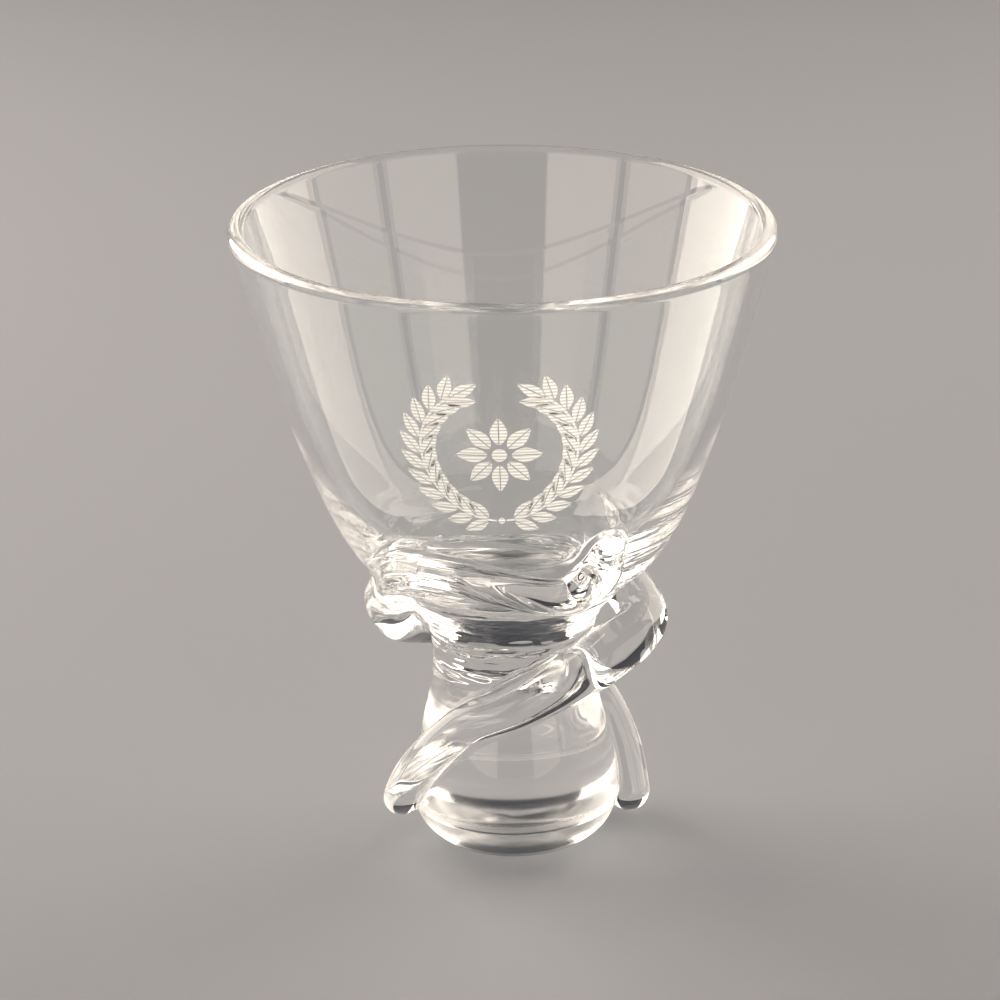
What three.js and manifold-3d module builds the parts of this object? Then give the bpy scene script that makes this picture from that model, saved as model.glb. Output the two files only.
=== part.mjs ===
// A heavy hand-made crystal goblet: a blown bowl with a deep solid bottom, a solid waisted stem,
// a solid rounded foot, and two thick trails of crystal wound half a turn up the stem onto the bowl.
// Millimetres, +Z up. The origin is on the axis, on the surface that the goblet stands on.

import * as THREE from "three";
import { mergeVertices } from "three/addons/utils/BufferGeometryUtils.js";
import Module from "manifold-3d";

// Driving sizes of the turned body.
const totalHeight = 200;
const rimRadius = 82;
const rimWall = 5.2;
const rimFlare = 14.9; // degrees that the wall leans out under the rim
const groundRadius = 17; // flat ground ring and centre that the foot stands on
const footRadius = 32.2;
const footHeight = 15.5; // where the stem gather sits on the foot
const waistRadius = 24.7;
const waistHeight = 57.5;
const bowlJoinHeight = 73; // where the bowl gather sits on the stem
const flankRadius = 44; // the turn from the bowl's underside to its wall
const flankHeight = 93.3;
const flankSlope = 43.7; // degrees above level at the flank

// Pulls of the outline's curves: how far each end keeps its direction.
const footPull = 12.3;
const waistPullDown = 8;
const waistPullUp = 19.5;
const flankPullDown = 21.5;
const flankPullUp = 18.1;
const rimPull = 50;

// Sizes of the hollow, whose round floor comes down near the bowl's underside.
const hollowWallFlare = 14.8; // degrees
const hollowWallPull = 84;
const hollowFloorHeight = 90;
const hollowFloorPull = 52;

// Clearance between one gather and the next.
const seatGap = 0.3;

// Where the middle of a trail runs: its heights, from the foot end to the last fingertip.
const rightFootEndHeight = 16;
const leftFootEndHeight = 8.3;
const ankleHeight = 33;
const climbHeight = 47.5;
const crossingHeight = 54.5; // where a trail crosses the stem, a quarter turn from its foot end
const riseHeight = 60.5;
const shoulderHeight = 66;
const rightWingHeight = 72.5; // where a trail stands out furthest
const leftWingHeight = 74.5;
const rightDiveHeight = 84; // where it goes back into the bowl's underside
const rightSinkHeight = 90;
const rightTipHeight = 95;
const leftLobeHeight = 83.5; // the top of the left wing
const leftDiveHeight = 92;
const archStartHeight = 99.5;
const archHeight = 106; // the top of the left trail's arch over the front of the flank
const archEndHeight = 102;
const fingerRootHeight = 98;
const fingerHeight = 106;
const leftTipHeight = 112.5;

// How far the middle stands off the body's surface. Less than nothing lies inside it.
const footEndStand = 4.6;
const climbStand = 4.3;
const crossingStand = 3.9;
const riseStand = 4.8;
const shoulderStand = 8.3;
const rightWingStand = 14;
const leftWingStand = 7.2;
const diveStand = 0;
const sinkStand = -2.5;
const archStand = -1.5;
const fingerStand = 0.5;
const leftLobeStand = 4.5;
const leftDiveStand = -3;
const archStartStand = -3.5;

// Half the thickness of a trail.
const rightFootEndHalf = 5.6;
const leftFootEndHalf = 6.6;
const climbHalf = 6.2;
const crossingHalf = 7;
const riseHalf = 7.9;
const shoulderHalf = 8.4;
const rightWingHalf = 7.7;
const leftWingHalf = 9;
const leftLobeHalf = 8.2;
const diveHalf = 7.5;
const sinkHalf = 6;
const rightTipHalf = 4;
const archHalf = 6.6;
const fingerRootHalf = 6.3;
const fingerHalf = 7.2;
const leftTipHalf = 5.6;

// How the trails end: the right one sinks into the back of the bowl's underside, and the left one
// arches over the front of the flank to a raised fingertip.
const rightEndStations = [
  { turn: 189, height: rightDiveHeight, stand: diveStand, half: diveHalf },
  { turn: 204, height: rightSinkHeight, stand: sinkStand, half: sinkHalf },
  { turn: 216, height: rightTipHeight, stand: sinkStand, half: rightTipHalf },
];
const leftEndStations = [
  { turn: 182, height: leftLobeHeight, stand: leftLobeStand, half: leftLobeHalf },
  { turn: 196, height: leftDiveHeight, stand: leftDiveStand, half: diveHalf },
  { turn: 208, height: archStartHeight, stand: archStartStand, half: archHalf },
  { turn: 222, height: archHeight, stand: archStand, half: archHalf },
  { turn: 239, height: archHeight, stand: archStand, half: archHalf },
  { turn: 254, height: archEndHeight, stand: archStand, half: fingerRootHalf },
  { turn: 268, height: fingerRootHeight, stand: archStand, half: fingerRootHalf },
  { turn: 279, height: fingerRootHeight, stand: fingerStand, half: fingerRootHalf },
  { turn: 285, height: fingerHeight, stand: fingerStand, half: fingerHalf },
  { turn: 286, height: leftTipHeight, stand: fingerStand, half: leftTipHalf },
];

// The trails: two alike up to their wings, half a turn apart.
const trailPieces = [
  {
    name: "trail_right",
    startAngle: 194,
    footEndHeight: rightFootEndHeight,
    footEndHalf: rightFootEndHalf,
    wingHeight: rightWingHeight,
    wingStand: rightWingStand,
    wingHalf: rightWingHalf,
    endStations: rightEndStations,
  },
  {
    name: "trail_left",
    startAngle: 14,
    footEndHeight: leftFootEndHeight,
    footEndHalf: leftFootEndHalf,
    wingHeight: leftWingHeight,
    wingStand: leftWingStand,
    wingHalf: leftWingHalf,
    endStations: leftEndStations,
  },
];

// Fineness of the facets.
const turnSteps = 64;
const stemSteps = 10;
const bowlSteps = 22;
const hollowSteps = 22;
const footSteps = 7;
const lipSteps = 6;
const trailSteps = 72;
const trailSides = 14;
const trailCapSteps = 3;
const curvePoints = 120;
const nearbyShare = 0.001; // of a trail's length, for its direction

const degree = Math.PI / 180;

// The lip is a roll of the wall's thickness, and its top is the top of the goblet.
const lipHalf = rimWall / 2;
const lipCentre = new THREE.Vector2(rimRadius - lipHalf, totalHeight - lipHalf);

function direction(angle) {
  return new THREE.Vector2(Math.cos(angle * degree), Math.sin(angle * degree));
}

function offset(point, along, distance) {
  return point.clone().addScaledVector(along, distance);
}

// The outline of the body, from the top of the foot to the start of the lip.
function makeBodyCurves() {
  const up = new THREE.Vector2(0, 1);
  const footTop = new THREE.Vector2(footRadius, footHeight);
  const waist = new THREE.Vector2(waistRadius, waistHeight);
  const flank = new THREE.Vector2(flankRadius, flankHeight);
  const wallEnd = offset(lipCentre, direction(-rimFlare), lipHalf);
  const flankWay = direction(flankSlope);
  const wallWay = direction(90 - rimFlare);
  const stemCurve = new THREE.CubicBezierCurve(
    footTop, offset(footTop, up, footPull), offset(waist, up, -waistPullDown), waist);
  const undersideCurve = new THREE.CubicBezierCurve(
    waist, offset(waist, up, waistPullUp), offset(flank, flankWay, -flankPullDown), flank);
  const wallCurve = new THREE.CubicBezierCurve(
    flank, offset(flank, flankWay, flankPullUp), offset(wallEnd, wallWay, -rimPull), wallEnd);
  return [stemCurve, undersideCurve, wallCurve];
}

const bodyLine = makeBodyCurves().flatMap((curve) => curve.getPoints(curvePoints));

function bodyRadius(height) {
  const above = Math.max(1, bodyLine.findIndex((point) => point.y >= height));
  const low = bodyLine[above - 1];
  const high = bodyLine[above];
  const share = (height - low.y) / (high.y - low.y);
  return low.x + (high.x - low.x) * share;
}

function bodyOutline(lowHeight, highHeight, steps) {
  return Array.from({ length: steps + 1 }, (unused, step) => {
    const height = lowHeight + ((highHeight - lowHeight) * step) / steps;
    return new THREE.Vector2(bodyRadius(height), height);
  });
}

// The rounded edge of the foot, a quarter ellipse from the ground flat up to the foot's full width.
function footOutline(topHeight) {
  return Array.from({ length: footSteps + 1 }, (unused, step) => {
    const angle = (90 * degree * step) / footSteps;
    const radius = groundRadius + (footRadius - groundRadius) * Math.sin(angle);
    return new THREE.Vector2(radius, topHeight * (1 - Math.cos(angle)));
  });
}

// The fire-polished roll of the lip, from the outside wall over the top to the hollow's wall.
function lipOutline() {
  const rollAngles = Array.from({ length: lipSteps }, (unused, step) => (180 * step) / lipSteps);
  const angles = [-rimFlare, ...rollAngles, 180 - hollowWallFlare];
  return angles.map((angle) => offset(lipCentre, direction(angle), lipHalf));
}

// The hollow, from the lip down to the middle of its round floor.
function hollowOutline() {
  const wallTop = offset(lipCentre, direction(180 - hollowWallFlare), lipHalf);
  const curve = new THREE.CubicBezierCurve(
    wallTop,
    offset(wallTop, direction(90 - hollowWallFlare), -hollowWallPull),
    new THREE.Vector2(hollowFloorPull, hollowFloorHeight),
    new THREE.Vector2(0, hollowFloorHeight));
  return curve.getSpacedPoints(hollowSteps);
}

const stemLine = bodyOutline(footHeight + seatGap / 2, bowlJoinHeight - seatGap / 2, stemSteps);
const bowlLine = bodyOutline(bowlJoinHeight + seatGap / 2, lipCentre.y - lipHalf, bowlSteps);
const footLine = footOutline(footHeight - seatGap / 2);

function onAxis(point) {
  return new THREE.Vector2(0, point.y);
}

// A lathe turns about Y, so it is stood up onto Z.
function lathe(points) {
  return new THREE.LatheGeometry(points, turnSteps).rotateX(90 * degree);
}

function makeFoot() {
  return lathe([onAxis(footLine[0]), ...footLine, onAxis(footLine.at(-1))]);
}

function makeStem() {
  return lathe([onAxis(stemLine[0]), ...stemLine, onAxis(stemLine.at(-1))]);
}

function makeBowl() {
  return lathe([onAxis(bowlLine[0]), ...bowlLine, ...lipOutline(), ...hollowOutline().slice(1)]);
}

// The whole body grown by the seat gap: what a trail is cut by where it lies on the body.
function makeGrownBody() {
  const line = [...footLine, ...stemLine, ...bowlLine];
  const grown = line.map((point, index) => {
    const before = line[Math.max(0, index - 1)];
    const after = line[Math.min(line.length - 1, index + 1)];
    const along = after.clone().sub(before).normalize();
    return offset(point, new THREE.Vector2(along.y, -along.x), seatGap);
  });
  return lathe([onAxis(grown[0]), ...grown, onAxis(grown.at(-1))]);
}

// The places along a trail: turn in degrees from its foot end, height, how far its middle stands
// off the body's surface, and half its thickness there.
function trailStations(trail) {
  return [
    { turn: 0, height: trail.footEndHeight, stand: footEndStand, half: trail.footEndHalf },
    { turn: 20, height: ankleHeight, stand: footEndStand, half: trail.footEndHalf },
    { turn: 46, height: climbHeight, stand: climbStand, half: climbHalf },
    { turn: 76, height: crossingHeight, stand: crossingStand, half: crossingHalf },
    { turn: 106, height: riseHeight, stand: riseStand, half: riseHalf },
    { turn: 136, height: shoulderHeight, stand: shoulderStand, half: shoulderHalf },
    { turn: 164, height: trail.wingHeight, stand: trail.wingStand, half: trail.wingHalf },
    ...trail.endStations,
  ];
}

function trailPoint(trail, place) {
  const angle = (trail.startAngle + place.x) * degree;
  const radius = bodyRadius(place.y) + place.z;
  return new THREE.Vector3(radius * Math.cos(angle), radius * Math.sin(angle), place.y);
}

// Rings along the trail, with a round cap of smaller and smaller rings at each end.
function trailRings(trail) {
  const stations = trailStations(trail);
  const route = new THREE.CatmullRomCurve3(
    stations.map((station) => new THREE.Vector3(station.turn, station.height, station.stand)),
    false, "catmullrom");
  const thickness = new THREE.SplineCurve(
    stations.map((station) => new THREE.Vector2(station.turn, station.half)));
  const rings = [];
  for (let step = 0; step <= trailSteps; step += 1) {
    const share = step / trailSteps;
    const centre = trailPoint(trail, route.getPoint(share));
    const before = trailPoint(trail, route.getPoint(Math.max(0, share - nearbyShare)));
    const after = trailPoint(trail, route.getPoint(Math.min(1, share + nearbyShare)));
    const along = after.sub(before).normalize();
    rings.push({ centre, along, half: thickness.getPoint(share).y });
  }
  return [...capRings(rings[0], -1).reverse(), ...rings, ...capRings(rings.at(-1), 1)];
}

function capRings(end, way) {
  return Array.from({ length: trailCapSteps }, (unused, step) => {
    const angle = (90 * degree * (step + 1)) / (trailCapSteps + 1);
    const centre = end.centre.clone().addScaledVector(end.along, way * end.half * Math.sin(angle));
    return { centre, along: end.along, half: end.half * Math.cos(angle) };
  });
}

function makeTrailTube(trail) {
  const rings = trailRings(trail);
  const positions = [];
  for (const ring of rings) {
    const outward = new THREE.Vector3(ring.centre.x, ring.centre.y, 0).normalize();
    outward.addScaledVector(ring.along, -outward.dot(ring.along)).normalize();
    const across = new THREE.Vector3().crossVectors(ring.along, outward);
    for (let side = 0; side < trailSides; side += 1) {
      const angle = (360 * degree * side) / trailSides;
      const point = ring.centre.clone();
      point.addScaledVector(outward, ring.half * Math.cos(angle));
      point.addScaledVector(across, ring.half * Math.sin(angle));
      positions.push(point.x, point.y, point.z);
    }
  }
  const triangles = [];
  for (let ring = 0; ring + 1 < rings.length; ring += 1) {
    for (let side = 0; side < trailSides; side += 1) {
      const a = ring * trailSides + side;
      const b = ring * trailSides + ((side + 1) % trailSides);
      triangles.push(a, b, b + trailSides, a, b + trailSides, a + trailSides);
    }
  }
  const lastRing = (rings.length - 1) * trailSides;
  for (let side = 1; side + 1 < trailSides; side += 1) {
    triangles.push(0, side + 1, side);
    triangles.push(lastRing, lastRing + side, lastRing + side + 1);
  }
  const tube = new THREE.BufferGeometry();
  tube.setAttribute("position", new THREE.Float32BufferAttribute(positions, 3));
  tube.setIndex(triangles);
  return tube;
}

// Cuts between closed solids.
const wasm = await Module();
wasm.setup();

function toSolid(geometry) {
  const bare = geometry.clone();
  bare.deleteAttribute("normal");
  bare.deleteAttribute("uv");
  const merged = mergeVertices(bare);
  return new wasm.Manifold(new wasm.Mesh({
    numProp: 3,
    vertProperties: new Float32Array(merged.attributes.position.array),
    triVerts: new Uint32Array(merged.index.array),
  }));
}

function fromSolid(solid) {
  const mesh = solid.getMesh();
  const geometry = new THREE.BufferGeometry();
  geometry.setAttribute("position", new THREE.Float32BufferAttribute(mesh.vertProperties, 3));
  geometry.setIndex(Array.from(mesh.triVerts));
  geometry.computeVertexNormals();
  return geometry;
}

function makeTrail(trail) {
  return fromSolid(toSolid(makeTrailTube(trail)).subtract(toSolid(makeGrownBody())));
}

// Clear lead crystal, fire-polished on every face but the ground flat under the foot.
function crystal() {
  return new THREE.MeshStandardMaterial({
    color: 0xe9edef,
    roughness: 0.03,
    metalness: 0,
    transparent: true,
    opacity: 0.35,
  });
}

const goblet = new THREE.Group();

function addPiece(name, geometry) {
  const mesh = new THREE.Mesh(geometry, crystal());
  mesh.name = name;
  goblet.add(mesh);
}

addPiece("foot", makeFoot());
addPiece("stem", makeStem());
addPiece("bowl", makeBowl());
for (const trail of trailPieces) {
  addPiece(trail.name, makeTrail(trail));
}

export default goblet;
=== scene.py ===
# A heavy hand-made crystal goblet on a plain pale floor, lit by upright soft walls of light.
# The sizes are in millimetres, as in the CAD, and turn to metres where a mesh is made.

import math

import bpy
import numpy as np
from mathutils import Matrix, Vector


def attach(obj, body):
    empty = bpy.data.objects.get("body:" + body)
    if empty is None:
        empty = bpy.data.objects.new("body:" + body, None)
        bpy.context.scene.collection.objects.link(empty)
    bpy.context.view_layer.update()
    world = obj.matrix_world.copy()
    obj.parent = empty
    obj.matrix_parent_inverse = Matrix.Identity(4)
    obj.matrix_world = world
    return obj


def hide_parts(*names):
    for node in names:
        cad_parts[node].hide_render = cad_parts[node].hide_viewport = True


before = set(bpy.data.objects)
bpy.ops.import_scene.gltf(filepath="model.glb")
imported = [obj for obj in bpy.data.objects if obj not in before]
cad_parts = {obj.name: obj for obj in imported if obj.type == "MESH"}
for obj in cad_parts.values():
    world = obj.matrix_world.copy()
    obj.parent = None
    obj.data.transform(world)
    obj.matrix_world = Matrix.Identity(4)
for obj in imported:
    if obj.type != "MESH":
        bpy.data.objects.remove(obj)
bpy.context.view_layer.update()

MM = 0.001

# Driving sizes of the turned body.
TOTAL_HEIGHT = 200
RIM_RADIUS = 82
RIM_WALL = 5.2
RIM_FLARE = 14.9  # degrees that the wall leans out under the rim
GROUND_RADIUS = 17
FOOT_RADIUS = 32.2
FOOT_HEIGHT = 15.5
WAIST_RADIUS = 24.7
WAIST_HEIGHT = 57.5
BOWL_JOIN_HEIGHT = 73
FLANK_RADIUS = 44
FLANK_HEIGHT = 93.3
FLANK_SLOPE = 43.7  # degrees
FOOT_PULL = 12.3
WAIST_PULL_DOWN = 8
WAIST_PULL_UP = 19.5
FLANK_PULL_DOWN = 21.5
FLANK_PULL_UP = 18.1
RIM_PULL = 50
HOLLOW_WALL_FLARE = 14.8  # degrees
HOLLOW_WALL_PULL = 84
HOLLOW_FLOOR_HEIGHT = 90
HOLLOW_FLOOR_PULL = 52

# The polished hollow under the foot, where the pontil was, and the soft ridge round the top of the foot.
PONTIL_RADIUS = 13.5
PONTIL_DEPTH = 2.8
SATIN_TOP = 13  # the foot's edge is satin up to here
RIDGE_TOP = 15.4  # and matt up to here
RIDGE_HEIGHT = 14.2
RIDGE_HALF = 0.8
RIDGE_STAND = 0.4

# The hand-made rim isn't quite level: from the top of the trails on, the bowl climbs to the left.
RIM_TILT = 0.0175  # rise for each millimetre to the left

# The ripples where the trails are wound on.
RIPPLE_LENGTH = 17
RIPPLE_WIDTH = 3.2
RIPPLE_SLANT = 14  # degrees
RIPPLE_FROM = 57
RIPPLE_TO = 94
RIPPLE_FADE = 8
RIPPLE_STRENGTH = 0.45

# Fineness of the body's mesh.
TURN_STEPS = 288
PONTIL_ROWS = 14
FOOT_ROWS = 48
STEM_ROWS = 76
FLANK_ROWS = 66
WALL_ROWS = 36
LIP_ROWS = 26
HOLLOW_ROWS = 60
TRAIL_TOP = 124  # no trail reaches higher

# The engraved ornament on the front of the bowl: a rosette in a laurel wreath.
ENGRAVING_ANGLE = 268  # degrees round the axis, where 270 is the front
ENGRAVING_HEIGHT = 151
ENGRAVING_STAND = 0.02  # how far the plates stand off the glass
ENGRAVING_RAISE = 0.06  # their thickness
LEAF_TIP = 0.02  # share of a leaf's length that is left off each end
LEAF_SWELL = 0.85  # below 1 a leaf is widest past its middle
LEAF_STEPS = 12
ARC_STEPS = 40
MIDRIB_GAP = 0.35
HATCH_PERIOD = 1.1
HATCH_LEAST = 0.5  # how solid the frost is between the ruled cuts
HATCH_MOST = 0.95
PETALS = 8
PETAL_START = 3.4
PETAL_LENGTH = 9.2
PETAL_HALF_WIDTH = 2.3
ROSETTE_EYE = 2.2
WREATH_RADIUS = 23
WREATH_FROM = -86  # degrees, from the wreath's right side
WREATH_TO = 56
WREATH_LEAF_STEP = 13
WREATH_LEAF_LEAN = 33
WREATH_LEAF_LENGTH = 8.6
WREATH_LEAF_HALF_WIDTH = 1.7
WREATH_STEM_HALF = 0.35
WREATH_KNOT = 1.1

# How the trails melt into the body.
FILLET = 3.2
SEAM_GAP = 0.02
MELT_REACH = 0.8 * FILLET  # how far the skin swells at most
MELT_SINK = 0.05  # how far it sinks at most
NEAR_TRAIL = 1.5 * FILLET  # skin farther from a trail stays as it is
JOIN_SNAP = 0.12  # skin this near the join is moved onto it

# How finely distances from the body and the trails are searched.
CURVE_STEPS = 400
OUTSIDE_TOP = 145  # well above the trails
OUTSIDE_FOOT_ROWS = 200
OUTSIDE_STEPS = 900
OUTSIDE_COARSE_STEP = 6
ROUTE_STEPS = 1600
ROUTE_PLACES = 900
ROUTE_COARSE_STEP = 9
NEAREST_ROUNDS = 3
LEAST_SLACK = 0.3  # keeps the search steady on the inside of a bend
MELT_ROUNDS = 8
LEAST_RISE = 0.35
JOIN_ROUNDS = 14
JOIN_STEP = 0.6
JOIN_DAMPING = 0.02

# The trails. Each station has its turn in degrees from the foot end, its height, how far its middle
# stands off the body, and half its thickness.
STAND_LOW = 4.6
COMMON_STATIONS = [
    (46, 47.5, 4.3, 6.2),  # it climbs
    (76, 54.5, 3.9, 7),  # it crosses the stem
    (106, 60.5, 4.8, 7.9),  # it leaves the stem
    (136, 66, 8.3, 8.4),
]
RIGHT_END = [
    (164, 72.5, 14, 7.7),  # the free wing at the right
    (189, 84, 0, 7.5),  # it dives into the body
    (204, 90, -2.5, 6),
    (216, 95, -2.5, 4),  # it ends within the bowl's underside
]
LEFT_END = [
    (164, 74.5, 7.2, 9),
    (182, 83.5, 4.5, 8.2),  # the lobe at the left
    (196, 92, -3, 7.5),
    (208, 99.5, -3.5, 6.6),
    (222, 106, -1.5, 6.6),  # the arch over the front of the flank
    (239, 106, -1.5, 6.6),
    (254, 102, -1.5, 6.3),
    (268, 98, -1.5, 6.3),  # it dips
    (279, 98, 0.5, 6.3),
    (285, 106, 0.5, 7.2),  # the raised finger
    (286, 112.5, 0.5, 5.6),
]
TRAILS = {
    "trail_right": {"start_angle": 194, "foot_end_height": 16, "foot_end_half": 5.6,
                    "end_stations": RIGHT_END},
    "trail_left": {"start_angle": 14, "foot_end_height": 8.3, "foot_end_half": 6.6,
                   "end_stations": LEFT_END},
}
ANKLE_TURN = 20  # where a trail leaves the foot, in degrees from its foot end
ANKLE_HEIGHT = 33
TRAIL_RINGS = 300
TRAIL_SIDES = 72
TRAIL_CAP_RINGS = 10

# The camera that was fitted to the photograph: rim, flanks and foot.
SENSOR_WIDTH = 36
LENS_FOCAL = 152.64
CAMERA_PLACE = (0, -1208.6, 575.6)
CAMERA_PITCH = 21.04
CAMERA_YAW = -0.128
CAMERA_ROLL = -1.42

# The glass.
GLASS_IOR = 1.54
GLASS_TINT = "#fbfdfd"
WAVE_LENGTH = 28  # of the faint unevenness of hand-worked glass
BUMP_DEPTH = 2
BLOWN_WAVINESS = 0.015
SOLID_WAVINESS = 0.06
SATIN_ROUGHNESS = 0.16
MATT_ROUGHNESS = 0.6
THIN_SHADOW = "#dcdfe0"
THICK_SHADOW = "#8c9092"
WAVE_NODE_TURN = 20  # radians that the wave node runs through for each unit at scale 1

# The studio, in metres and degrees. Each soft wall has its middle's place round from the front, its
# spread, its height and the radiance of its face.
SOFT_WALLS = {
    "left_front_wall": (-38, 34, 1.0, 1.75),
    "left_side_wall": (-77, 34, 1.0, 1.75),
    "right_front_wall": (38, 34, 1.0, 1.45),
    "right_side_wall": (77, 34, 1.0, 1.45),
    "left_key_wall": (-123, 52, 2.2, 5.2),
    "right_fill_wall": (123, 52, 2.2, 3.1),
}
WALL_AWAY = 1.35
WALL_CREAM = "#fff1e2"
ROOM_GREY = "#3c3d41"
FLOOR_GREY = "#a0a3a9"
FLOOR_HALF = 3
FLOOR_DROP = 0.0002

# The rim shows light that the wall of glass has passed on by many mirrorings. With few bounces it is lost,
# and the rim turns black.
LIGHT_BOUNCES = 96


def linear(hex_colour):
    """The linear RGBA of an sRGB colour such as #c8c0b4."""
    shares = [int(hex_colour[at:at + 2], 16) / 255 for at in (1, 3, 5)]
    return [s / 12.92 if s <= 0.04045 else ((s + 0.055) / 1.055) ** 2.4 for s in shares] + [1]


def add_node(tree, kind, settings=None, links=None):
    """A node of that kind, with its settings, its socket values and its links from other nodes' outputs."""
    node = tree.nodes.new(kind)
    for name, value in (settings or {}).items():
        if name in node.inputs:
            node.inputs[name].default_value = value
        else:
            setattr(node, name, value)
    for name, output in (links or {}).items():
        tree.links.new(output, node.inputs[name])
    return node


def new_material(name):
    material = bpy.data.materials.new(name)
    material.use_nodes = True
    material.node_tree.nodes.clear()
    return material


# The camera, at the photograph's viewing angle.
def make_camera():
    yaw = math.radians(CAMERA_YAW)
    pitch = math.radians(CAMERA_PITCH)
    roll = math.radians(CAMERA_ROLL)
    forward = Vector((math.sin(yaw) * math.cos(pitch), math.cos(yaw) * math.cos(pitch), -math.sin(pitch)))
    level = Vector((math.cos(yaw), -math.sin(yaw), 0))
    above = level.cross(forward)
    right = math.cos(roll) * level + math.sin(roll) * above
    up = -math.sin(roll) * level + math.cos(roll) * above
    data = bpy.data.cameras.new("camera")
    data.sensor_width = SENSOR_WIDTH
    data.lens = LENS_FOCAL
    camera = bpy.data.objects.new("camera", data)
    turn = Matrix((right, up, -forward)).transposed().to_4x4()
    camera.matrix_world = Matrix.Translation(Vector(CAMERA_PLACE) * MM) @ turn
    bpy.context.scene.collection.objects.link(camera)
    bpy.context.scene.camera = camera


make_camera()


# The outline of the body.
def way(angle):
    return np.array([math.cos(math.radians(angle)), math.sin(math.radians(angle))])


def bezier(start, start_pull, end_pull, end):
    t = np.linspace(0, 1, CURVE_STEPS + 1)[:, None]
    points = (1 - t) ** 3 * start + 3 * (1 - t) ** 2 * t * start_pull
    return points + 3 * (1 - t) * t ** 2 * end_pull + t ** 3 * end


LIP_HALF = RIM_WALL / 2
LIP_CENTRE = np.array([RIM_RADIUS - LIP_HALF, TOTAL_HEIGHT - LIP_HALF])


def body_curve():
    """Radius and height along the outside, from the top of the foot to the start of the lip."""
    up = np.array([0, 1])
    foot_top = np.array([FOOT_RADIUS, FOOT_HEIGHT])
    waist = np.array([WAIST_RADIUS, WAIST_HEIGHT])
    flank = np.array([FLANK_RADIUS, FLANK_HEIGHT])
    flank_way = way(FLANK_SLOPE)
    wall_end = LIP_CENTRE + way(-RIM_FLARE) * LIP_HALF
    wall_way = way(90 - RIM_FLARE)
    stem = bezier(foot_top, foot_top + up * FOOT_PULL, waist - up * WAIST_PULL_DOWN, waist)
    underside = bezier(waist, waist + up * WAIST_PULL_UP, flank - flank_way * FLANK_PULL_DOWN, flank)
    wall = bezier(flank, flank + flank_way * FLANK_PULL_UP, wall_end - wall_way * RIM_PULL, wall_end)
    return np.vstack([stem, underside[1:], wall[1:]])


BODY_CURVE = body_curve()
WALL_END = BODY_CURVE[-1]


def body_radius(heights):
    return np.interp(heights, BODY_CURVE[:, 1], BODY_CURVE[:, 0])


def body_points(low, high, rows):
    heights = np.linspace(low, high, rows + 1)
    return np.column_stack([body_radius(heights), heights])


def foot_edge(rows):
    angles = np.linspace(0, math.pi / 2, rows + 1)
    radii = GROUND_RADIUS + (FOOT_RADIUS - GROUND_RADIUS) * np.sin(angles)
    return np.column_stack([radii, FOOT_HEIGHT * (1 - np.cos(angles))])


def pontil_hollow():
    radii = np.linspace(0, PONTIL_RADIUS, PONTIL_ROWS + 1)[1:]
    return np.column_stack([radii, PONTIL_DEPTH * (1 - (radii / PONTIL_RADIUS) ** 2)])


def lip_roll():
    angles = np.linspace(-RIM_FLARE, 180 - HOLLOW_WALL_FLARE, LIP_ROWS + 1)
    return np.array([LIP_CENTRE + way(angle) * LIP_HALF for angle in angles])


def even_steps(line, steps):
    lengths = np.linalg.norm(np.diff(line, axis=0), axis=1)
    travelled = np.concatenate([[0], np.cumsum(lengths)])
    wanted = np.linspace(0, travelled[-1], steps + 1)
    return np.column_stack([np.interp(wanted, travelled, line[:, k]) for k in (0, 1)])


def hollow_points():
    wall_top = LIP_CENTRE + way(180 - HOLLOW_WALL_FLARE) * LIP_HALF
    wall_pull = wall_top - way(90 - HOLLOW_WALL_FLARE) * HOLLOW_WALL_PULL
    floor_pull = np.array([HOLLOW_FLOOR_PULL, HOLLOW_FLOOR_HEIGHT])
    floor = np.array([0, HOLLOW_FLOOR_HEIGHT])
    return even_steps(bezier(wall_top, wall_pull, floor_pull, floor), HOLLOW_ROWS)[:-1]


def outward(line):
    """The outward way at each point of an outline that runs up the outside."""
    along = np.gradient(line, axis=0)
    along /= np.linalg.norm(along, axis=1)[:, None]
    return np.column_stack([along[:, 1], -along[:, 0]])


foot_rows = np.vstack([pontil_hollow(), foot_edge(FOOT_ROWS)])
stem_rows = body_points(FOOT_HEIGHT, BOWL_JOIN_HEIGHT, STEM_ROWS)
flank_rows = body_points(BOWL_JOIN_HEIGHT, TRAIL_TOP, FLANK_ROWS)
wall_rows = body_points(TRAIL_TOP, WALL_END[1], WALL_ROWS)
body_rows = np.vstack([foot_rows, stem_rows[1:], flank_rows[1:], wall_rows[1:], lip_roll()[1:],
                       hollow_points()[1:]])
on_outside = body_rows[:, 0] > GROUND_RADIUS
from_ridge = (body_rows[on_outside, 1] - RIDGE_HEIGHT) / RIDGE_HALF
body_rows[on_outside, 0] += RIDGE_STAND * np.exp(-from_ridge ** 2)
foot_last_row = len(foot_rows) - 1
stem_last_row = foot_last_row + STEM_ROWS
trail_last_row = stem_last_row + FLANK_ROWS

# The outside as a fine line, for distances from it.
lower_curve = BODY_CURVE[BODY_CURVE[:, 1] < OUTSIDE_TOP]
outside = even_steps(np.vstack([foot_edge(OUTSIDE_FOOT_ROWS), lower_curve[1:]]), OUTSIDE_STEPS)
outside_way = outward(outside)
outside_length = np.concatenate([[0], np.cumsum(np.linalg.norm(np.diff(outside, axis=0), axis=1))])


def look_up(places, known, values):
    return np.column_stack([np.interp(places, known, values[:, k]) for k in range(values.shape[1])])


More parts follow.
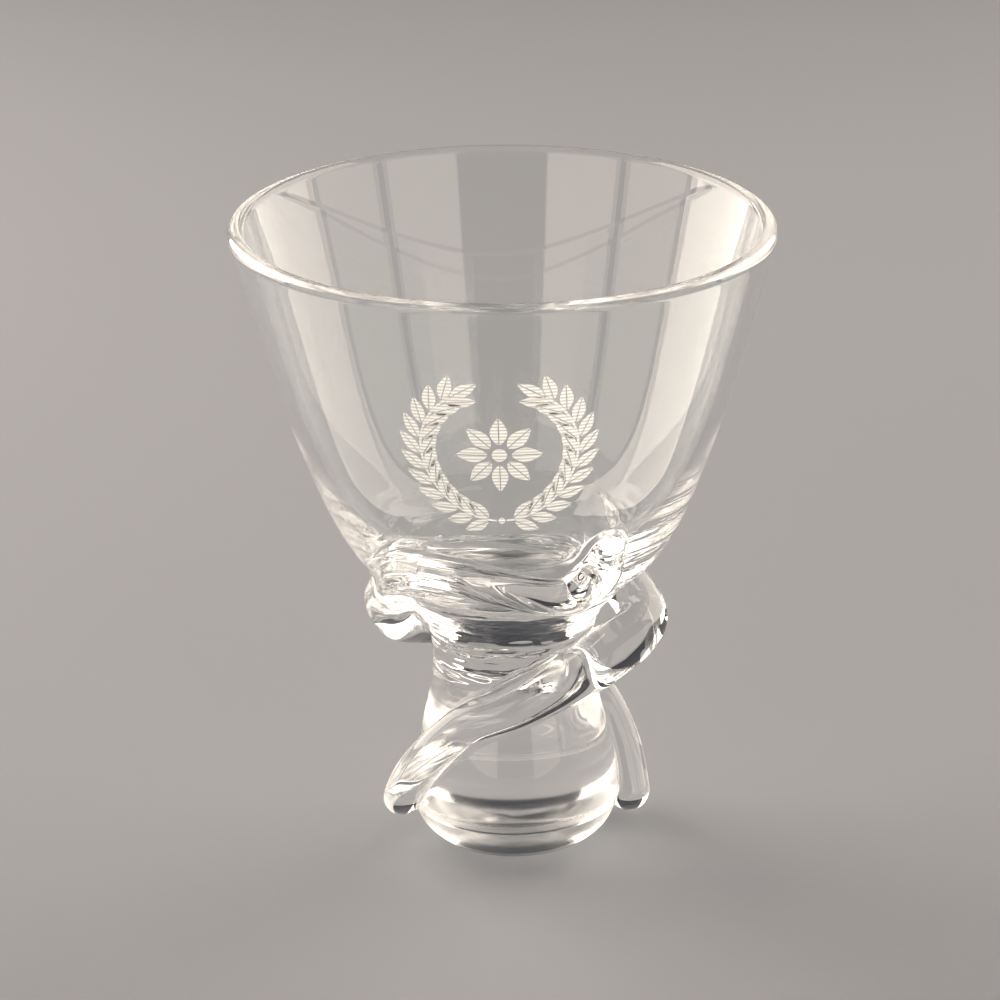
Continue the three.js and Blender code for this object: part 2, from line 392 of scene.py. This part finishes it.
def body_distance(points):
    """How far each point lies outside the turned body, and the way straight out of it."""
    radius = np.hypot(points[:, 0], points[:, 1])
    flat = np.column_stack([radius, points[:, 2]])
    coarse = outside[::OUTSIDE_COARSE_STEP]
    gaps = ((flat[:, None, :] - coarse[None, :, :]) ** 2).sum(2)
    place = outside_length[::OUTSIDE_COARSE_STEP][np.argmin(gaps, axis=1)]
    for _ in range(NEAREST_ROUNDS):
        base = look_up(place, outside_length, outside)
        out = look_up(place, outside_length, outside_way)
        along = np.column_stack([-out[:, 1], out[:, 0]])
        place = np.clip(place + ((flat - base) * along).sum(1), 0, outside_length[-1])
    base = look_up(place, outside_length, outside)
    out = look_up(place, outside_length, outside_way)
    distance = ((flat - base) * out).sum(1)
    turned = points[:, :2] / np.maximum(radius, 1e-6)[:, None]
    return distance, np.column_stack([turned * out[:, :1], out[:, 1]])


def smooth_through(values, share):
    """A Catmull-Rom curve through evenly spaced values, at shares from 0 to 1."""
    values = np.asarray(values, float)
    before = 2 * values[0] - values[1]
    after = 2 * values[-1] - values[-2]
    padded = np.concatenate([[before], values, [after]])
    place = np.clip(share, 0, 1) * (len(values) - 1)
    at = np.minimum(place.astype(int), len(values) - 2)
    t = place - at
    a, b, c, d = (padded[at + k] for k in range(4))
    return b + 0.5 * t * (c - a + t * (2 * a - 5 * b + 4 * c - d + t * (3 * (b - c) + d - a)))


class Trail:
    """The middle line of a trail, with its half thickness, as a fine run of points."""

    def __init__(self, start_angle, foot_end_height, foot_end_half, end_stations):
        foot_end = (0, foot_end_height, STAND_LOW, foot_end_half)
        ankle = (ANKLE_TURN, ANKLE_HEIGHT, STAND_LOW, foot_end_half)
        turns, heights, stands, halves = zip(foot_end, ankle, *COMMON_STATIONS, *end_stations)
        share = np.linspace(0, 1, ROUTE_STEPS)
        angle = np.radians(start_angle + smooth_through(turns, share))
        height = smooth_through(heights, share)
        radius = body_radius(height) + smooth_through(stands, share)
        line = np.column_stack([radius * np.cos(angle), radius * np.sin(angle), height])
        half = smooth_through(halves, share)
        steps = np.linalg.norm(np.diff(line, axis=0), axis=1)
        travelled = np.concatenate([[0], np.cumsum(steps)])
        self.length = travelled[-1]
        self.places = np.linspace(0, self.length, ROUTE_PLACES)
        self.line = look_up(self.places, travelled, line)
        self.half = np.interp(self.places, travelled, half)
        self.along = np.gradient(self.line, self.places, axis=0)
        self.along /= np.linalg.norm(self.along, axis=1)[:, None]
        self.bend = np.gradient(self.along, self.places, axis=0)
        self.taper = np.gradient(self.half, self.places)

    def distance(self, points):
        """How far each point lies outside the trail, and the way straight out of it."""
        coarse = self.line[::ROUTE_COARSE_STEP]
        gaps = ((points[:, None, :] - coarse[None, :, :]) ** 2).sum(2)
        place = self.places[::ROUTE_COARSE_STEP][np.argmin(gaps, axis=1)]
        for _ in range(NEAREST_ROUNDS):
            apart = points - look_up(place, self.places, self.line)
            along = look_up(place, self.places, self.along)
            bend = look_up(place, self.places, self.bend)
            slack = np.maximum(1 - (apart * bend).sum(1), LEAST_SLACK)
            place = np.clip(place + (apart * along).sum(1) / slack, 0, self.length)
        apart = points - look_up(place, self.places, self.line)
        along = look_up(place, self.places, self.along)
        bend = look_up(place, self.places, self.bend)
        slack = np.maximum(1 - (apart * bend).sum(1), LEAST_SLACK)
        reach = np.maximum(np.linalg.norm(apart, axis=1), 1e-6)
        out = apart / reach[:, None]
        inside = (place > 0) & (place < self.length)
        taper = np.where(inside, np.interp(place, self.places, self.taper), 0) / slack
        return reach - np.interp(place, self.places, self.half), out - taper[:, None] * along


trails = {name: Trail(**values) for name, values in TRAILS.items()}


def trails_distance(points):
    (first, first_way), (second, second_way) = (trail.distance(points) for trail in trails.values())
    near_first = (first < second)[:, None]
    return np.minimum(first, second), np.where(near_first, first_way, second_way)


def melted(points):
    """The body and the trails melted together: the distance, its way out, and trail less body distance."""
    body, body_way = body_distance(points)
    trail, trail_way = trails_distance(points)
    reach = np.maximum(FILLET - np.abs(body - trail), 0)
    body_share = np.where(body < trail, 1 - reach / (2 * FILLET), reach / (2 * FILLET))[:, None]
    distance = np.minimum(body, trail) - reach ** 2 / (4 * FILLET)
    return distance, body_share * body_way + (1 - body_share) * trail_way, trail - body


def unit(vectors):
    return vectors / np.maximum(np.linalg.norm(vectors, axis=1), 1e-9)[:, None]


def onto_melted(points, ways):
    """Each point moved along its way onto the melted surface."""
    moved = np.zeros(len(points))
    for _ in range(MELT_ROUNDS):
        distance, out, _ = melted(points + ways * moved[:, None])
        rise = np.maximum((out * ways).sum(1), LEAST_RISE)
        moved = np.clip(moved - distance / rise, -MELT_SINK, MELT_REACH)
    return points + ways * moved[:, None]


def onto_join(points):
    """Each point moved onto the line where the melted body and trail meet, which lies a quarter of the
    fillet outside both."""
    goal = FILLET / 4
    for _ in range(JOIN_ROUNDS):
        body, body_way = body_distance(points)
        trail, trail_way = trails_distance(points)
        both = np.stack([body_way, trail_way], axis=1)
        miss = np.stack([goal - body, goal - trail], axis=1)
        square = both @ both.transpose(0, 2, 1) + JOIN_DAMPING * np.eye(2)
        step = (both.transpose(0, 2, 1) @ np.linalg.solve(square, miss[:, :, None]))[:, :, 0]
        size = np.linalg.norm(step, axis=1)
        points = points + step * np.minimum(1, JOIN_STEP / np.maximum(size, 1e-9))[:, None]
    return points


def split_at_join(points, triangles, side):
    """Cuts triangles where side passes through zero. Gives the points, the triangles, the triangle that
    each was cut from, and each point's side."""
    near = np.abs(side) < JOIN_SNAP
    used = np.zeros(len(points), bool)
    mixed = (side[triangles].max(1) > 0) & (side[triangles].min(1) < 0)
    used[triangles[mixed].ravel()] = True
    snapped = near & used
    points = points.copy()
    side = side.copy()
    points[snapped] = onto_join(points[snapped])
    side[snapped] = 0
    extra_ends = []
    extra_index = {}

    def crossing(a, b):
        key = (min(a, b), max(a, b))
        if key not in extra_index:
            extra_index[key] = len(points) + len(extra_ends)
            extra_ends.append(key)
        return extra_index[key]

    made, source = [], []
    for number, corners in enumerate(triangles.tolist()):
        signs = [side[c] for c in corners]
        if min(signs) >= 0 or max(signs) <= 0:
            made.append(corners)
            source.append(number)
            continue
        ring = []
        for k in range(3):
            a, b = corners[k], corners[(k + 1) % 3]
            ring.append(a)
            if side[a] * side[b] < 0:
                ring.append(crossing(a, b))
        for wanted in (1, -1):
            part = [c for c in ring if c >= len(points) or side[c] * wanted >= 0]
            for k in range(1, len(part) - 1):
                made.append([part[0], part[k], part[k + 1]])
                source.append(number)
    if extra_ends:
        ends = np.array(extra_ends)
        low, high = side[ends[:, 0]], side[ends[:, 1]]
        share = (low / (low - high))[:, None]
        middle = points[ends[:, 0]] * (1 - share) + points[ends[:, 1]] * share
        points = np.vstack([points, onto_join(middle)])
        side = np.concatenate([side, np.zeros(len(ends))])
    return points, np.array(made), np.array(source), side


def make_mesh_object(name, points, normals, triangles, material_numbers, materials):
    """A closed piece of the goblet, with smooth shading from its true surface ways."""
    used, local = np.unique(triangles.ravel(), return_inverse=True)
    faces = local.reshape(-1, 3)
    mesh = bpy.data.meshes.new(name)
    mesh.from_pydata((points[used] * MM).tolist(), [], faces.tolist())
    for material in materials:
        mesh.materials.append(material)
    mesh.polygons.foreach_set("material_index", np.asarray(material_numbers, np.int32))
    mesh.polygons.foreach_set("use_smooth", np.ones(len(faces), bool))
    mesh.update()
    mesh.normals_split_custom_set_from_vertices(normals[used].tolist())
    piece = bpy.data.objects.new(name, mesh)
    bpy.context.scene.collection.objects.link(piece)
    return piece


def ring_triangles(row, columns):
    """Two triangles for each step round, between a row and the next."""
    column = np.arange(columns)
    beside = (column + 1) % columns
    a, b = row * columns + column, row * columns + beside
    above, above_beside = a + columns, b + columns
    lower = np.column_stack([a, b, above_beside])
    upper = np.column_stack([a, above_beside, above])
    return np.vstack([lower, upper])


def turned_body():
    """Points, ways out, triangles and the row of each triangle for the whole turned body."""
    angles = np.linspace(0, 2 * math.pi, TURN_STEPS, endpoint=False)
    round_ways = np.column_stack([np.cos(angles), np.sin(angles)])
    ways = outward(body_rows)
    points, normals = [], []
    for (radius, height), (out, up) in zip(body_rows, ways):
        points.append(np.column_stack([radius * round_ways, np.full(TURN_STEPS, height)]))
        normals.append(np.column_stack([out * round_ways, np.full(TURN_STEPS, up)]))
    last_row = len(body_rows) - 1
    triangles = [ring_triangles(row, TURN_STEPS) for row in range(last_row)]
    rows = [np.full(2 * TURN_STEPS, row) for row in range(last_row)]
    ground_middle = len(body_rows) * TURN_STEPS
    hollow_middle = ground_middle + 1
    column = np.arange(TURN_STEPS)
    beside = (column + 1) % TURN_STEPS
    top = last_row * TURN_STEPS
    triangles.append(np.column_stack([np.full(TURN_STEPS, ground_middle), beside, column]))
    rows.append(np.full(TURN_STEPS, -1))
    triangles.append(np.column_stack([top + column, top + beside, np.full(TURN_STEPS, hollow_middle)]))
    rows.append(np.full(TURN_STEPS, last_row))
    points.append([[0, 0, PONTIL_DEPTH], [0, 0, HOLLOW_FLOOR_HEIGHT]])
    normals.append([[0, 0, -1], [0, 0, 1]])
    return np.vstack(points), np.vstack(normals), np.vstack(triangles), np.concatenate(rows)


TILTED_REACH = LIP_CENTRE[1] - TRAIL_TOP


def tilt_share(points):
    return np.clip((points[:, 2] - TRAIL_TOP) / TILTED_REACH, 0, 1)


def tilted(points):
    """The points after the bowl's upper part climbs to the left."""
    share = tilt_share(points)
    lift = share ** 2 * (3 - 2 * share)
    moved = points.copy()
    moved[:, 2] -= RIM_TILT * points[:, 0] * lift
    return moved


def tilted_ways(points, ways):
    """The ways out at those points, before the climb, turned as the climb turns them."""
    share = tilt_share(points)
    across = RIM_TILT * share ** 2 * (3 - 2 * share)
    upward = RIM_TILT * points[:, 0] * 6 * share * (1 - share) / TILTED_REACH
    push = ways[:, 2] / (1 - upward)
    turned = ways.copy()
    turned[:, 0] += across * push
    turned[:, 2] += upward * push
    return unit(turned)


# Each point's side is above zero on skin that shows, below it where the other gather covers the skin, and
# zero on the join.
FAR = 100.0
JUST_COVERED = -0.01


def ways_with_join(points, normals, side):
    """The ways out, with those of the melted surface at the points on the join and at the added ones."""
    added = len(points) - len(normals)
    on_join = np.concatenate([side[:len(normals)] == 0, np.ones(added, bool)])
    normals = np.vstack([normals, np.zeros((added, 3))])
    _, out, _ = melted(points[on_join])
    normals[on_join] = unit(out)
    return normals


def body_with_joins():
    points, normals, triangles, rows = turned_body()
    side = np.full(len(points), FAR)
    zone = np.arange((trail_last_row + 1) * TURN_STEPS)
    start_gap, _ = trails_distance(points[zone])
    near = start_gap < NEAR_TRAIL
    touched = zone[near]
    moved = onto_melted(points[touched], normals[touched])
    _, out, lead = melted(moved)
    covered = (lead < 0) | (start_gap[near] < -FILLET)
    side[touched] = lead
    side[touched[covered]] = np.minimum(lead[covered], JUST_COVERED)
    points[touched[~covered]] = moved[~covered]
    normals[touched[~covered]] = unit(out[~covered])
    points, triangles, source, side = split_at_join(points, triangles, side)
    return points, ways_with_join(points, normals, side), triangles, rows[source], side


def open_edges(triangles):
    """The edges that only one triangle has, in that triangle's order."""
    edges = np.vstack([triangles[:, [0, 1]], triangles[:, [1, 2]], triangles[:, [2, 0]]])
    keys = np.sort(edges, axis=1)
    _, inverse, counts = np.unique(keys, axis=0, return_inverse=True, return_counts=True)
    return edges[counts[inverse.ravel()] == 1]


def trail_skin(trail):
    """Points and triangles of a round trail with round ends."""
    places = np.linspace(0, trail.length, TRAIL_RINGS + 1)
    centres = look_up(places, trail.places, trail.line)
    along = unit(look_up(places, trail.places, trail.along))
    half = np.interp(places, trail.places, trail.half)
    rings = []
    cap_angles = np.linspace(0, 90, TRAIL_CAP_RINGS + 1)[1:-1]
    for angle in cap_angles[::-1]:
        back, thin = way(angle)[1], way(angle)[0]
        rings.append((centres[0] - along[0] * half[0] * back, along[0], half[0] * thin))
    rings += list(zip(centres, along, half))
    for angle in cap_angles:
        forth, thin = way(angle)[1], way(angle)[0]
        rings.append((centres[-1] + along[-1] * half[-1] * forth, along[-1], half[-1] * thin))
    points = []
    for centre, forward, size in rings:
        out = centre * [1, 1, 0] / math.hypot(centre[0], centre[1])
        out = out - forward * (out @ forward)
        out /= np.linalg.norm(out)
        across = np.cross(forward, out)
        angles = np.linspace(0, 2 * math.pi, TRAIL_SIDES, endpoint=False)[:, None]
        points.append(centre + size * (np.cos(angles) * out + np.sin(angles) * across))
    points.append([centres[0] - along[0] * half[0], centres[-1] + along[-1] * half[-1]])
    points = np.vstack(points)
    triangles = [ring_triangles(row, TRAIL_SIDES) for row in range(len(rings) - 1)]
    column = np.arange(TRAIL_SIDES)
    beside = (column + 1) % TRAIL_SIDES
    start = np.full(TRAIL_SIDES, len(rings) * TRAIL_SIDES)
    last = (len(rings) - 1) * TRAIL_SIDES
    triangles.append(np.column_stack([start, beside, column]))
    triangles.append(np.column_stack([last + column, last + beside, start + 1]))
    return points, np.vstack(triangles)


def trail_with_joins(trail):
    points, triangles = trail_skin(trail)
    body, body_way = body_distance(points)
    _, own_way = trail.distance(points)
    ways = unit(own_way)
    side = np.full(len(points), FAR)
    normals = ways.copy()
    touched = np.flatnonzero(body < NEAR_TRAIL)
    moved = onto_melted(points[touched], ways[touched])
    _, out, lead = melted(moved)
    covered = (lead > 0) | (body[touched] < -FILLET)
    side[touched] = -lead
    side[touched[covered]] = np.minimum(-lead[covered], JUST_COVERED)
    open_air, hidden = touched[~covered], touched[covered]
    points[open_air] = moved[~covered]
    normals[open_air] = unit(out[~covered])
    sunk = np.maximum(SEAM_GAP - body[hidden], 0)[:, None]
    points[hidden] += sunk * body_way[hidden]
    points, triangles, _, side = split_at_join(points, triangles, side)
    return points, ways_with_join(points, normals, side), triangles, side


def add_tool_ripples(tree, place, bump):
    """Fine slanting ripples left by the tools where the trails were wound on."""
    across, up = 1 / (RIPPLE_LENGTH * MM), 1 / (RIPPLE_WIDTH * MM)
    stretched = add_node(tree, "ShaderNodeMapping",
                         {"Rotation": (0, math.radians(RIPPLE_SLANT), 0), "Scale": (across, across, up)},
                         {"Vector": place.outputs["Object"]})
    ripples = add_node(tree, "ShaderNodeTexNoise", {"Scale": 1.0, "Detail": 1.0},
                       {"Vector": stretched.outputs["Vector"]})
    height = add_node(tree, "ShaderNodeSeparateXYZ", None, {"Vector": place.outputs["Object"]})
    fade_in = add_node(tree, "ShaderNodeMapRange",
                       {"From Min": (RIPPLE_FROM - RIPPLE_FADE) * MM, "From Max": RIPPLE_FROM * MM},
                       {"Value": height.outputs["Z"]})
    fade_out = add_node(tree, "ShaderNodeMapRange",
                        {"From Min": (RIPPLE_TO + RIPPLE_FADE) * MM, "From Max": RIPPLE_TO * MM},
                        {"Value": height.outputs["Z"]})
    band = add_node(tree, "ShaderNodeMath", {"operation": "MULTIPLY"})
    tree.links.new(fade_in.outputs["Result"], band.inputs[0])
    tree.links.new(fade_out.outputs["Result"], band.inputs[1])
    relief = add_node(tree, "ShaderNodeMath", {"operation": "MULTIPLY"})
    tree.links.new(ripples.outputs["Fac"], relief.inputs[0])
    tree.links.new(band.outputs["Value"], relief.inputs[1])
    return add_node(tree, "ShaderNodeBump", {"Strength": RIPPLE_STRENGTH, "Distance": BUMP_DEPTH * MM},
                    {"Height": relief.outputs["Value"], "Normal": bump.outputs["Normal"]})


# Clear lead crystal, worked hot: it bends light strongly and mirrors sharply, and the faint long waviness
# of hand-worked glass makes its streaks waver. Its shadow is only tinted, darker under thicker glass.
def make_crystal(name, shadow_colour, waviness, roughness=0.0, rippled=False):
    material = new_material(name)
    tree = material.node_tree
    place = add_node(tree, "ShaderNodeTexCoord")
    waves = add_node(tree, "ShaderNodeTexNoise", {"Scale": 1 / (WAVE_LENGTH * MM), "Detail": 0.0},
                     {"Vector": place.outputs["Object"]})
    bump = add_node(tree, "ShaderNodeBump", {"Strength": waviness, "Distance": BUMP_DEPTH * MM},
                    {"Height": waves.outputs["Fac"]})
    if rippled:
        bump = add_tool_ripples(tree, place, bump)
    glass = add_node(tree, "ShaderNodeBsdfPrincipled",
                     {"Base Color": linear(GLASS_TINT), "Roughness": roughness, "IOR": GLASS_IOR,
                      "Transmission Weight": 1.0},
                     {"Normal": bump.outputs["Normal"]})
    clear = add_node(tree, "ShaderNodeBsdfTransparent", {"Color": linear(shadow_colour)})
    light_path = add_node(tree, "ShaderNodeLightPath")
    mix = add_node(tree, "ShaderNodeMixShader", None,
                   {"Fac": light_path.outputs["Is Shadow Ray"]})
    tree.links.new(glass.outputs[0], mix.inputs[1])
    tree.links.new(clear.outputs[0], mix.inputs[2])
    add_node(tree, "ShaderNodeOutputMaterial", None, {"Surface": mix.outputs[0]})
    return material


# Where one gather was fused to the next while hot: nothing shows, so light passes straight on.
def make_fused_seam():
    material = new_material("hot_fused_seam")
    tree = material.node_tree
    clear = add_node(tree, "ShaderNodeBsdfTransparent")
    add_node(tree, "ShaderNodeOutputMaterial", None, {"Surface": clear.outputs[0]})
    return material


# A sweep of matt paper in pale cool grey: even, with no gleam to speak of.
def make_matt_floor():
    material = new_material("matt_paper_sweep")
    tree = material.node_tree
    surface = add_node(tree, "ShaderNodeBsdfPrincipled",
                       {"Base Color": linear(FLOOR_GREY), "Roughness": 0.9, "Specular IOR Level": 0.1})
    add_node(tree, "ShaderNodeOutputMaterial", None, {"Surface": surface.outputs[0]})
    return material


# The bowl was blown, so its wall is nearly true: long clean stripes, and ripples only low down.
blown_crystal = make_crystal("fire_polished_blown_crystal", THIN_SHADOW, BLOWN_WAVINESS, rippled=True)
# The stem was tooled as the trails were wound on: fine slanting ripples break its streaks up.
tooled_crystal = make_crystal("fire_polished_tooled_crystal", THICK_SHADOW, SOLID_WAVINESS, rippled=True)
# Foot and trails are solid and fire-polished: bright soft-edged streaks and sharp small lights.
solid_crystal = make_crystal("fire_polished_solid_crystal", THICK_SHADOW, SOLID_WAVINESS)
# The foot's edge is ground to satin: a soft grey band, with what lies behind it blurred.
satin_crystal = make_crystal("satin_ground_crystal", THICK_SHADOW, 0.0, SATIN_ROUGHNESS)
# The ridge round the top of the foot is left matt from the wheel: a pale, nearly opaque line.
matt_crystal = make_crystal("matt_ground_crystal", THICK_SHADOW, 0.0, MATT_ROUGHNESS)
seam = make_fused_seam()

# The numbers of the materials in every piece's list.
CRYSTAL, SEAM, SATIN, MATT = range(4)


def finish_of_rows(rows):
    """Satin on the foot's rounded edge, matt on the ridge above it, and clear crystal elsewhere."""
    heights = body_rows[np.clip(rows, 0, len(body_rows) - 1), 1]
    on_foot = (rows > PONTIL_ROWS) & (heights < RIDGE_TOP)
    return np.where(on_foot, np.where(heights < SATIN_TOP, SATIN, MATT), CRYSTAL)


def finish_piece(piece, node):
    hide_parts(node)
    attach(piece, "root")


def make_body_pieces():
    """Foot, stem and bowl: the turned body cut at two rows, each part closed by a flat fan of seam."""
    points, normals, triangles, rows, side = body_with_joins()
    normals = tilted_ways(points, normals)
    points = tilted(points)
    hidden = side[triangles].min(1) < 0
    pieces = {
        "foot": rows < foot_last_row,
        "stem": (rows >= foot_last_row) & (rows < stem_last_row),
        "bowl": rows >= stem_last_row,
    }
    crystals = {"foot": solid_crystal, "stem": tooled_crystal, "bowl": blown_crystal}
    low_middle = len(points)
    high_middle = low_middle + 1
    points = np.vstack([points, [0, 0, FOOT_HEIGHT], [0, 0, BOWL_JOIN_HEIGHT]])
    normals = np.vstack([normals, [0, 0, 1], [0, 0, 1]])
    for node, chosen in pieces.items():
        own = triangles[chosen]
        edges = open_edges(own)
        low = points[edges[:, 0], 2] < (FOOT_HEIGHT + BOWL_JOIN_HEIGHT) / 2
        seams = np.column_stack([edges[:, 1], edges[:, 0], np.where(low, low_middle, high_middle)])
        faces = np.vstack([own, seams])
        numbers = np.where(hidden[chosen], SEAM, finish_of_rows(rows[chosen]))
        numbers = np.concatenate([numbers, np.full(len(seams), SEAM)])
        piece = make_mesh_object("crystal_" + node, points, normals, faces, numbers,
                                 [crystals[node], seam, satin_crystal, matt_crystal])
        finish_piece(piece, node)


def make_trail_pieces():
    for node, trail in trails.items():
        points, normals, triangles, side = trail_with_joins(trail)
        hidden = side[triangles].min(1) < 0
        numbers = np.where(hidden, SEAM, CRYSTAL)
        piece = make_mesh_object("crystal_" + node, points, normals, triangles, numbers,
                                 [solid_crystal, seam])
        finish_piece(piece, node)


make_body_pieces()
make_trail_pieces()


# The engraving. Its drawing lies in a flat plane, across and up in millimetres, and wraps round the bowl.
def wrapped(drawn):
    """The drawing's points, each with how far it stands off the glass, laid round the bowl."""
    heights = ENGRAVING_HEIGHT + drawn[:, 1]
    radii = body_radius(heights) + drawn[:, 2]
    angles = math.radians(ENGRAVING_ANGLE) + drawn[:, 0] / body_radius(ENGRAVING_HEIGHT)
    return tilted(np.column_stack([radii * np.cos(angles), radii * np.sin(angles), heights]))


def engraved_plate(left, right, rows=2):
    """A thin closed plate between two lines of the drawing: its points, each with how far it stands off
    the glass, and its faces."""
    shares = np.linspace(0, 1, rows + 1)
    flat = np.array([a + (b - a) * share for a, b in zip(left, right) for share in shares])
    count, wide = len(left), rows + 1
    above = count * wide
    stands = np.repeat([ENGRAVING_STAND, ENGRAVING_STAND + ENGRAVING_RAISE], above)
    drawn = np.column_stack([np.vstack([flat, flat]), stands])
    faces = []
    for i in range(count - 1):
        for j in range(rows):
            a, b, c, d = i * wide + j, i * wide + j + 1, (i + 1) * wide + j + 1, (i + 1) * wide + j
            faces.append((d, c, b, a))
            faces.append((a + above, b + above, c + above, d + above))
    rim = list(range(wide)) + [i * wide + rows for i in range(1, count)]
    rim += [(count - 1) * wide + j for j in range(rows - 1, -1, -1)]
    rim += [i * wide for i in range(count - 2, 0, -1)]
    for a, b in zip(rim, rim[1:] + rim[:1]):
        faces.append((a, b, b + above, a + above))
    return drawn, faces


def leaf_plates(base, heading, length, half_width):
    """The two halves of a pointed leaf, parted by its midrib."""
    shares = np.linspace(LEAF_TIP, 1 - LEAF_TIP, LEAF_STEPS + 1)
    along, across = way(heading), way(heading + 90)
    swell = half_width * np.sin(math.pi * shares ** LEAF_SWELL)
    middle = base + length * shares[:, None] * along
    inner, outer = MIDRIB_GAP / 2 * across, (MIDRIB_GAP / 2 + swell)[:, None] * across
    return [engraved_plate(middle + outer, middle + inner), engraved_plate(middle - inner, middle - outer)]


def arc(radius, start, end):
    angles = np.radians(np.linspace(start, end, ARC_STEPS + 1))
    return radius * np.column_stack([np.cos(angles), np.sin(angles)])


def dot_plate(centre, radius):
    return engraved_plate(centre + arc(radius, 175, 5), centre + arc(radius, 185, 355))


def rosette_plates():
    plates = [dot_plate(np.zeros(2), ROSETTE_EYE)]
    for number in range(PETALS):
        heading = 90 + number * 360 / PETALS
        plates += leaf_plates(PETAL_START * way(heading), heading, PETAL_LENGTH, PETAL_HALF_WIDTH)
    return plates


def spray_plates():
    """The right half of the wreath, from its foot up to its last leaf."""
    inner = arc(WREATH_RADIUS - WREATH_STEM_HALF, WREATH_FROM, WREATH_TO)
    outer = arc(WREATH_RADIUS + WREATH_STEM_HALF, WREATH_FROM, WREATH_TO)
    plates = [engraved_plate(inner, outer, rows=1)]
    for place in np.arange(WREATH_FROM + WREATH_LEAF_STEP / 2, WREATH_TO, WREATH_LEAF_STEP):
        for lean in (WREATH_LEAF_LEAN, -WREATH_LEAF_LEAN):
            heading = place + 90 + lean
            side = -math.copysign(1, lean)
            base = (WREATH_RADIUS + side * 2 * WREATH_STEM_HALF) * way(place)
            plates += leaf_plates(base, heading, WREATH_LEAF_LENGTH, WREATH_LEAF_HALF_WIDTH)
    end = WREATH_TO + 1
    plates += leaf_plates(WREATH_RADIUS * way(end), end + 90, WREATH_LEAF_LENGTH, WREATH_LEAF_HALF_WIDTH)
    return plates


# Copper-wheel engraving: the cut glass is matt and frost white, with fine ruled cuts, and light from
# behind glows through it.
def make_wheel_engraved_frost():
    material = new_material("copper_wheel_engraved_frost")
    tree = material.node_tree
    place = add_node(tree, "ShaderNodeTexCoord")
    cuts = add_node(tree, "ShaderNodeTexWave",
                    {"bands_direction": "Z",
                     "Scale": 2 * math.pi / (WAVE_NODE_TURN * HATCH_PERIOD * MM)},
                    {"Vector": place.outputs["Object"]})
    depth = add_node(tree, "ShaderNodeMapRange", {"To Min": HATCH_LEAST, "To Max": HATCH_MOST},
                     {"Value": cuts.outputs["Fac"]})
    surface = add_node(tree, "ShaderNodeBsdfPrincipled",
                       {"Base Color": linear("#efece6"), "Roughness": 0.9, "IOR": GLASS_IOR,
                        "Subsurface Weight": 1.0, "Subsurface Radius": (1.0, 1.0, 1.0),
                        "Subsurface Scale": MM},
                       {"Alpha": depth.outputs["Result"]})
    add_node(tree, "ShaderNodeOutputMaterial", None, {"Surface": surface.outputs[0]})
    return material


def make_engraving():
    """The rosette, the wreath's knot, its right half, and its left half as the mirrored right one."""
    spray = spray_plates()
    plates = rosette_plates() + [dot_plate(WREATH_RADIUS * way(-90), WREATH_KNOT)] + spray
    for drawn, faces in spray:
        plates.append((drawn * [-1, 1, 1], [tuple(reversed(face)) for face in faces]))
    all_faces = []
    total = 0
    for drawn, faces in plates:
        all_faces += [tuple(corner + total for corner in face) for face in faces]
        total += len(drawn)
    points = wrapped(np.vstack([drawn for drawn, _ in plates]))
    mesh = bpy.data.meshes.new("wheel_engraving")
    mesh.from_pydata((points * MM).tolist(), [], all_faces)
    mesh.materials.append(make_wheel_engraved_frost())
    piece = bpy.data.objects.new("wheel_engraving", mesh)
    bpy.context.scene.collection.objects.link(piece)
    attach(piece, "root")


make_engraving()


# The studio.
def make_floor():
    corners = [(FLOOR_HALF * x, FLOOR_HALF * y, 0) for x, y in ((-1, -1), (1, -1), (1, 1), (-1, 1))]
    mesh = bpy.data.meshes.new("floor")
    mesh.from_pydata(corners, [], [(0, 1, 2, 3)])
    mesh.materials.append(make_matt_floor())
    floor = bpy.data.objects.new("floor", mesh)
    floor.location = (0, 0, -FLOOR_DROP)
    bpy.context.scene.collection.objects.link(floor)


def add_soft_wall(name, side_angle, spread, height, radiance):
    """An upright soft light that stands on the floor and faces the goblet, side_angle degrees round from
    the front. Its power follows from the radiance that its face has."""
    side = math.radians(side_angle)
    out = Vector((math.sin(side), -math.cos(side), 0))
    data = bpy.data.lights.new(name, "AREA")
    data.shape = "RECTANGLE"
    data.size = 2 * WALL_AWAY * math.tan(math.radians(spread / 2))
    data.size_y = height
    data.energy = radiance * math.pi * data.size * data.size_y
    data.color = linear(WALL_CREAM)[:3]
    lamp = bpy.data.objects.new(name, data)
    lamp.location = WALL_AWAY * out + Vector((0, 0, height / 2))
    lamp.rotation_euler = (-out).to_track_quat("-Z", "Y").to_euler()
    bpy.context.scene.collection.objects.link(lamp)


def make_world():
    world = bpy.data.worlds.new("studio_room")
    world.use_nodes = True
    world.node_tree.nodes["Background"].inputs["Color"].default_value = linear(ROOM_GREY)
    bpy.context.scene.world = world


make_floor()
make_world()
for wall, (side_angle, spread, height, radiance) in SOFT_WALLS.items():
    add_soft_wall(wall, side_angle, spread, height, radiance)

scene = bpy.context.scene
scene.view_settings.view_transform = "Standard"
scene.cycles.max_bounces = LIGHT_BOUNCES
scene.cycles.transmission_bounces = LIGHT_BOUNCES
scene.cycles.glossy_bounces = LIGHT_BOUNCES
scene.cycles.transparent_max_bounces = LIGHT_BOUNCES
